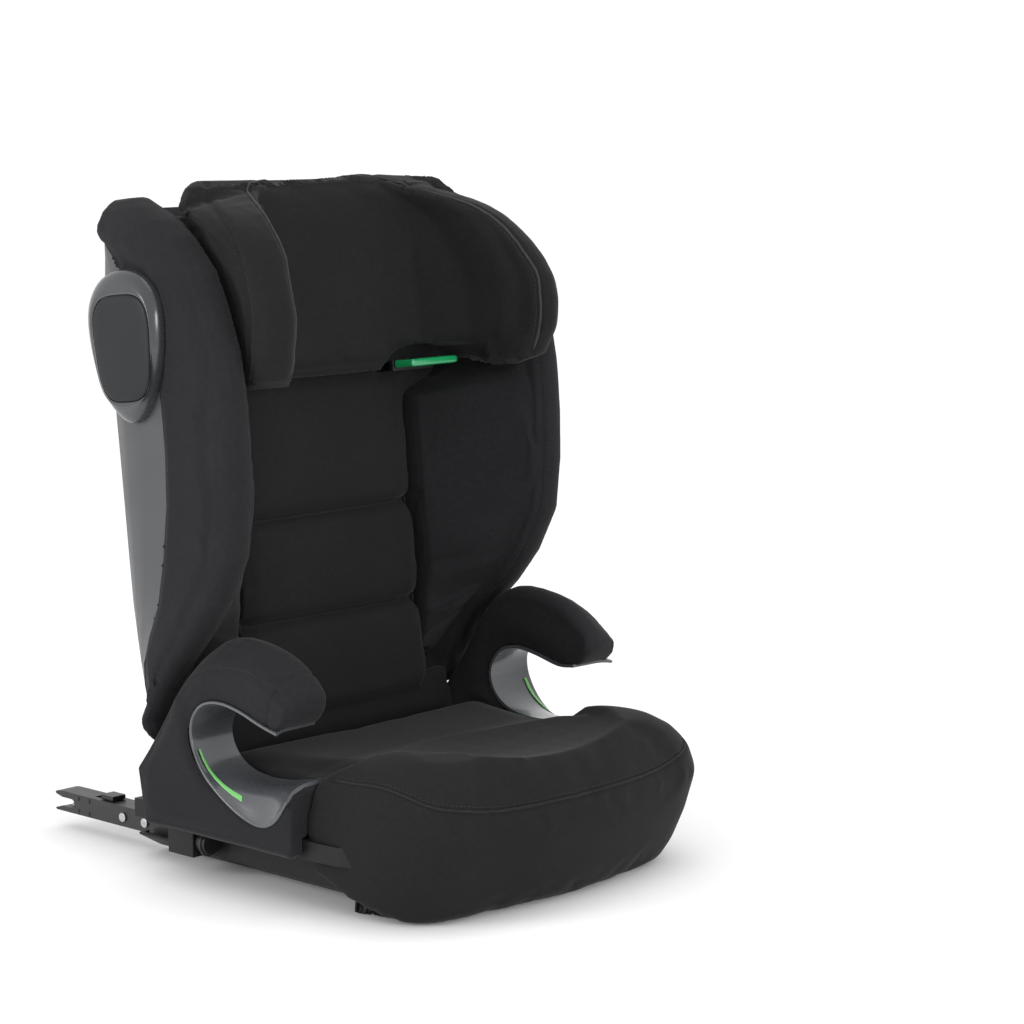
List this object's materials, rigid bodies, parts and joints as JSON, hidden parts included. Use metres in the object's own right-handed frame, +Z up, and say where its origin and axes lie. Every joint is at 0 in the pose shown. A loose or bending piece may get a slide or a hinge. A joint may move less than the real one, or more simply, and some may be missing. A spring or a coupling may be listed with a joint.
{
  "type": "high-back child booster seat",
  "caption": "High-back booster seat with hooked belt-guide armrests, side wings, sliding headrest, reclining lift-off backrest and retracting rear anchor connectors.",
  "frame": {"origin": "on the underside of the base, which stands on the floor, in the middle plane and under the seat cushion", "axes": "+Z up, the child faces -Y and the anchor connectors point to +Y, +X towards the seated child's left hand; left and right in node names are as seen from the front"},
  "size_m": [0.476, 0.5678, 0.6353],
  "materials": {
    "fabric": "woven, matt black",
    "side_fabric": "woven, charcoal",
    "foam": "open-cell foam, grey",
    "shell_plastic": "moulded, fine grain",
    "grey_plastic": "moulded, satin dark grey",
    "black_plastic": "moulded, satin black",
    "green_plastic": "glossy green",
    "green_strip": "light green",
    "steel": "zinc-plated",
    "black_steel": "black e-coat"
  },
  "bodies": {
    "base": {"base_shell": "shell_plastic", "armrest_cover_left": "side_fabric", "armrest_cover_right": "side_fabric", "seat_cover": "fabric", "seat_foam": "foam", "belt_insert_left": "grey_plastic", "belt_insert_right": "grey_plastic", "belt_marker_left": "green_strip", "belt_marker_right": "green_strip", "underside_tray": "grey_plastic", "rear_frame": "black_plastic", "hinge_bar": "steel", "anchor_rail_left": "steel", "anchor_rail_right": "steel", "release_housing_left": "grey_plastic", "release_housing_right": "grey_plastic"},
    "hinge_sleeves": {"hinge_sleeve_left": "grey_plastic", "hinge_sleeve_right": "grey_plastic"},
    "backrest": {"back_shell": "shell_plastic", "wing_pad_left": "side_fabric", "wing_pad_right": "side_fabric", "back_pad": "fabric", "hinge_hook_left": "black_plastic", "hinge_hook_right": "black_plastic", "impact_pod_left": "grey_plastic", "impact_pod_right": "grey_plastic", "headrest_guide_left": "black_plastic", "headrest_guide_right": "black_plastic", "latch_rack": "black_plastic", "back_screw_low_left": "steel", "back_screw_low_right": "steel", "back_screw_high_left": "steel", "back_screw_high_right": "steel"},
    "headrest": {"headrest_shell": "shell_plastic", "headrest_pad": "fabric", "headrest_slider": "shell_plastic", "belt_guide_left": "green_plastic", "belt_guide_right": "green_plastic", "belt_guide_carrier_left": "black_plastic", "belt_guide_carrier_right": "black_plastic"},
    "handle": {"headrest_handle": "grey_plastic"},
    "bolt": {"latch_bolt": "steel"},
    "anchor_left": {"anchor_arm_left": "black_steel", "jaw_pin_left": "steel", "anchor_rivet_1_left": "steel", "anchor_rivet_2_left": "steel"},
    "jaw_left": {"anchor_jaw_left": "steel"},
    "trigger_left": {"anchor_trigger_left": "black_plastic"},
    "knob_left": {"release_knob_left": "black_plastic"},
    "anchor_right": {"anchor_arm_right": "black_steel", "jaw_pin_right": "steel", "anchor_rivet_1_right": "steel", "anchor_rivet_2_right": "steel"},
    "jaw_right": {"anchor_jaw_right": "steel"},
    "trigger_right": {"anchor_trigger_right": "black_plastic"},
    "knob_right": {"release_knob_right": "black_plastic"}
  },
  "joints": [
    {"name": "recline", "type": "hinge", "parent": "base", "child": "hinge_sleeves", "pos_m": [0, 0.14, 0.06], "axis": [-1, 0, 0], "range_deg": [0, 15]},
    {"name": "backrest_lift", "type": "slide", "parent": "hinge_sleeves", "child": "backrest", "axis": [0, 0.1132, 0.9936], "range_m": [0, 0.25]},
    {"name": "headrest_height", "type": "slide", "parent": "backrest", "child": "headrest", "axis": [0, 0.1132, 0.9936], "range_m": [0, 0.18]},
    {"name": "handle_pull", "type": "slide", "parent": "headrest", "child": "handle", "axis": [0, 0.1132, 0.9936], "range_m": [0, 0.008], "stiffness_N_per_m": 400, "springref_m": -0.01},
    {"name": "bolt_retract", "type": "slide", "parent": "headrest", "child": "bolt", "axis": [0, -0.9936, 0.1132], "range_m": [0, 0.004]},
    {"name": "anchor_slide_left", "type": "slide", "parent": "base", "child": "anchor_left", "axis": [0, -1, 0], "range_m": [0, 0.07]},
    {"name": "trigger_slide_left", "type": "slide", "parent": "anchor_left", "child": "trigger_left", "axis": [0, 1, 0], "range_m": [0, 0.008], "stiffness_N_per_m": 300, "springref_m": -0.01},
    {"name": "jaw_turn_left", "type": "hinge", "parent": "anchor_left", "child": "jaw_left", "pos_m": [-0.14, 0.286, 0.0214], "axis": [1, 0, 0], "range_deg": [0, 22.5]},
    {"name": "knob_press_left", "type": "slide", "parent": "base", "child": "knob_left", "axis": [0, 1, 0], "range_m": [0, 0.005], "stiffness_N_per_m": 600, "springref_m": -0.006},
    {"name": "anchor_slide_right", "type": "slide", "parent": "base", "child": "anchor_right", "axis": [0, -1, 0], "range_m": [0, 0.07]},
    {"name": "trigger_slide_right", "type": "slide", "parent": "anchor_right", "child": "trigger_right", "axis": [0, 1, 0], "range_m": [0, 0.008], "stiffness_N_per_m": 300, "springref_m": -0.01},
    {"name": "jaw_turn_right", "type": "hinge", "parent": "anchor_right", "child": "jaw_right", "pos_m": [0.14, 0.286, 0.0214], "axis": [1, 0, 0], "range_deg": [0, 22.5]},
    {"name": "knob_press_right", "type": "slide", "parent": "base", "child": "knob_right", "axis": [0, 1, 0], "range_m": [0, 0.005], "stiffness_N_per_m": 600, "springref_m": -0.006}
  ],
  "couplings": [
    {"joint": "bolt_retract", "follows": "handle_pull", "ratio": 0.5},
    {"joint": "jaw_turn_left", "follows": "trigger_slide_left", "rad_per_m": 48},
    {"joint": "jaw_turn_right", "follows": "trigger_slide_right", "rad_per_m": 48}
  ]
}
